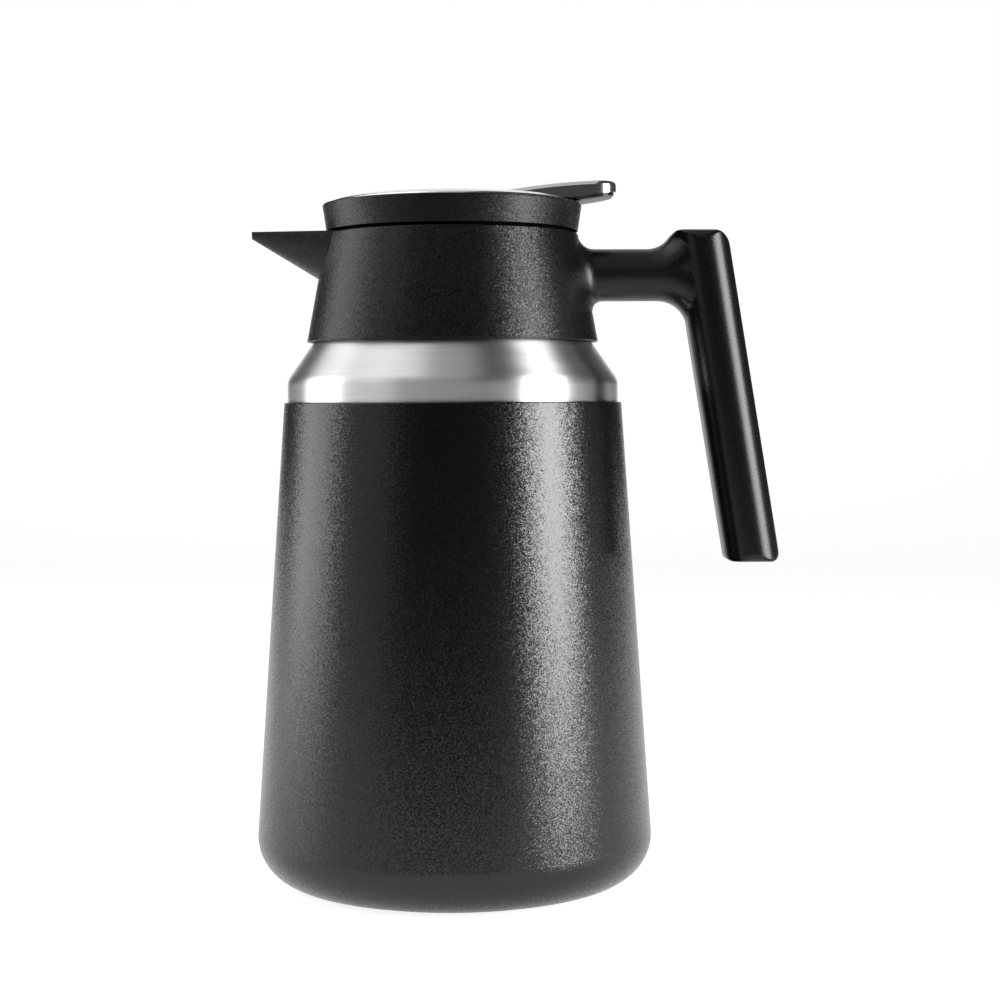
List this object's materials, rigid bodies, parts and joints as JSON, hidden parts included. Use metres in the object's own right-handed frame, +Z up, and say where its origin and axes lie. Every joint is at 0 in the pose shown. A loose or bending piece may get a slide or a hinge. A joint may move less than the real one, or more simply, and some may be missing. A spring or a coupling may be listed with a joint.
{
  "type": "thermal carafe with flip lid",
  "caption": "Double-walled thermal carafe with a V-shaped pouring spout, T-shaped handle and a push-in lid whose hinged steel top and thumb lever lift a sprung pouring valve.",
  "frame": {"origin": "centre of the flat foot, on the flask's vertical axis", "axes": "+Z up along the flask's axis, -X towards the spout, +X towards the handle, Y across"},
  "size_m": [0.1871, 0.1406, 0.2468],
  "materials": {
    "coat": "fine-grained satin powder coat",
    "band_steel": "brushed round the axis",
    "flask_steel": "satin",
    "sealing_glass": "fused solder glass",
    "getter": "sintered",
    "foot_rubber": "matte",
    "body_plastic": "fine spark texture",
    "grip_plastic": "smooth satin",
    "inner_plastic": "smooth satin",
    "silicone": "smooth",
    "small_steel": "bright drawn",
    "lid_steel": "polished"
  },
  "bodies": {
    "flask": {"outer_shell": "coat", "shoulder_band": "band_steel", "inner_flask": "flask_steel", "base_plate": "flask_steel", "vacuum_seal": "sealing_glass", "getter": "getter", "foot_pad": "foot_rubber", "collar": "body_plastic", "collar_gasket": "silicone", "clamp_ring": "inner_plastic", "handle": "grip_plastic", "handle_end_cap": "grip_plastic", "handle_screws": "small_steel"},
    "lid": {"lid_ring": "body_plastic", "stopper_body": "inner_plastic", "stopper_gasket": "silicone", "hinge_pin": "small_steel", "valve_spring": "small_steel"},
    "flap": {"top_disc": "lid_steel", "thumb_lever": "lid_steel", "flap_carrier": "body_plastic"},
    "valve": {"valve_rod": "small_steel", "rod_pin": "small_steel", "valve_washer": "small_steel", "valve_seal": "silicone", "valve_nut": "small_steel"}
  },
  "joints": [
    {"name": "lid_lift", "type": "slide", "parent": "flask", "child": "lid", "axis": [0, 0, 1], "range_m": [0, 0.06]},
    {"name": "flap_press", "type": "hinge", "parent": "lid", "child": "flap", "pos_m": [0.04, 0, 0.2365], "axis": [0, 1, 0], "range_deg": [0, 9], "stiffness_Nm_per_rad": 1.15, "springref_deg": -13.46},
    {"name": "valve_lift", "type": "slide", "parent": "lid", "child": "valve", "axis": [0, 0, 1], "range_m": [0, 0.0064], "deforming": ["valve_spring"]}
  ],
  "couplings": [
    {"joint": "valve_lift", "follows": "flap_press", "m_per_rad": 0.04}
  ]
}
